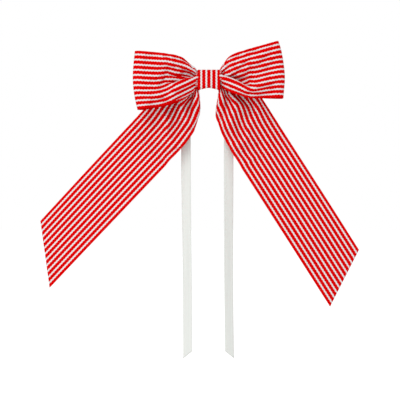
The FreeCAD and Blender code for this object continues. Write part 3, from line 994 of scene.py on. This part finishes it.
def make_tie(name, points):
    """A leg of the satin strip, flat to the front, with a slanting cut end."""
    line = spline_points(points)
    if line[0, 2] < line[-1, 2]:
        line = line[::-1]
    line = resample(line / MM, spacing=1.5)
    length = line_length(line)
    side = math.copysign(1, points[0][0])
    columns = 13
    share = np.linspace(-1, 1, columns)
    rows = len(line)
    along = np.arange(rows)[:, None] / (rows - 1) * (length - TIE_SLANT * (0.5 - 0.5 * share * side)[None])
    measure = np.linspace(0, length, rows)
    grid = np.stack([np.interp(along, measure, line[:, k]) for k in range(3)], -1)
    turn = TIE_TURN * smooth_step(along, 20, 110)
    grid[..., 0] += np.cos(turn) * share * SATIN_WIDTH / 2
    grid[..., 1] += np.sin(turn) * share * side * SATIN_WIDTH / 2
    grid[..., 1] += 0.18 * share**2 * np.sin(along / 23.0)
    made = ribbon_mesh(f"tie_{name}_leg", grid, along, (share + 1) * SATIN_WIDTH / 2, SATIN_HALF_THICK)
    finish_piece(made, "white_satin", "tie_" + name)
    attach(made, "tie_" + name)


def half_bridge(x, top, bottom):
    """Rows of the satin strip from the knot's middle out to one mitre fold and down to its leg.

    Each row is its top edge's point and its bottom edge's.
    """
    side = math.copysign(1, x)
    inner, outer = abs(x) - SATIN_WIDTH / 2, abs(x) + SATIN_WIDTH / 2
    rows = []
    for reach in np.linspace(0, inner - 0.3, 22):
        y = BRIDGE_Y + (FOLD_Y_TIE - BRIDGE_Y) * smooth_step(reach, KNOT_SIDE - 1.0, inner)
        rows.append([(side * reach, y, top), (side * reach, y, bottom)])
    for t in np.linspace(0.1, 1.0, 8):
        high, low = inner - 0.3 + 0.3 * t, inner - 0.3 + (outer - inner + 0.3) * t
        rows.append([(side * high, FOLD_Y_TIE, top), (side * low, FOLD_Y_TIE, bottom)])
    for angle in np.radians([30, 60, 90, 120, 150, 180]):
        y = FOLD_Y_TIE + 0.2 * (1 - math.cos(angle))
        out = 0.2 * math.sin(angle)
        rows.append([(side * (inner + out), y, top + out), (side * (outer + out), y, bottom + out)])
    y = FOLD_Y_TIE + 0.4
    down = bottom - 0.35
    for t in np.linspace(0.1, 1.0, 10):
        high, low = top + (down - top) * t, bottom + (down - bottom) * t
        rows.append([(side * inner, y, high), (side * outer, y, low)])
    return np.array(rows)


def make_bridge():
    """The middle of the satin strip, through the knot behind the tails, with a mitre fold at each end."""
    low, high = (np.array(corner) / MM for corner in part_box("tie_bridge"))
    left = half_bridge(TIES["left"][0][0] / MM, high[2], low[2])
    right = half_bridge(TIES["right"][0][0] / MM, high[2], low[2])
    edges = np.concatenate([left[::-1], right[1:]])
    share = np.linspace(0, 1, 11)
    grid = edges[:, :1] + (edges[:, 1:] - edges[:, :1]) * share[None, :, None]
    middle = grid[:, 5]
    along = np.concatenate([[0], np.cumsum(np.linalg.norm(np.diff(middle, axis=0), axis=1))])[:, None]
    made = ribbon_mesh("tie_bridge_strip", grid, along, share[None] * SATIN_WIDTH, SATIN_HALF_THICK)
    finish_piece(made, "white_satin", "tie_bridge")
    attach(made, "knot")


# --- Making ---

make_loops()
make_tails()
make_wrap()
make_bridge()
for tie_name, tie_points in TIES.items():
    make_tie(tie_name, tie_points)
assign("binding_thread", "white_thread")
assign("wrap_glue", "hot_glue")

# --- Camera, light and backdrop ---

LENS = 170
FLOOR_HALF = 6.0
FLOOR_GAP = 0.012  # from the ends of the ties down to the floor
FLOOR_GLOW = 0.12
KEY_PLACE, KEY_TARGET = (-0.6, -1.2, 1.0), (0, 0, -0.06)
KEY_SIZE, KEY_POWER = 0.9, 14

scene = bpy.context.scene
camera_data = bpy.data.cameras.new("camera")
camera_data.lens = LENS
camera = bpy.data.objects.new("camera", camera_data)
scene.collection.objects.link(camera)
camera.location = (VIEW_X * MM, -VIEW_DISTANCE * MM, VIEW_Z * MM)
camera.rotation_euler = (math.radians(90), 0, 0)
scene.camera = camera
scene.view_settings.view_transform = "Standard"

world = bpy.data.worlds.new("world")
scene.world = world
world.use_nodes = True
world.node_tree.nodes["Background"].inputs[0].default_value = (1, 1, 1, 1)
world.node_tree.nodes["Background"].inputs[1].default_value = 1.0


def area_light(name, location, target, size, power):
    data = bpy.data.lights.new(name, "AREA")
    data.size = size
    data.energy = power
    light = bpy.data.objects.new(name, data)
    scene.collection.objects.link(light)
    light.location = location
    light.rotation_euler = (Vector(target) - Vector(location)).to_track_quat("-Z", "Y").to_euler()


def make_floor():
    """A plain pale floor just below the ends of the ties."""
    half = FLOOR_HALF
    height = float(bounds_before[0][2]) - FLOOR_GAP
    mesh = bpy.data.meshes.new("floor")
    corners = [(-half, -half, height), (half, -half, height), (half, half, height), (-half, half, height)]
    mesh.from_pydata(corners, [], [(0, 1, 2, 3)])
    paper = Pattern("floor_paper", (0.95, 0.95, 0.95), 0.9, gloss=0.0)
    paper.shader.inputs["Emission Color"].default_value = (1, 1, 1, 1)
    paper.shader.inputs["Emission Strength"].default_value = FLOOR_GLOW
    mesh.materials.append(paper.material)
    made = bpy.data.objects.new("floor", mesh)
    scene.collection.objects.link(made)


make_floor()
area_light("key", KEY_PLACE, KEY_TARGET, KEY_SIZE, KEY_POWER)
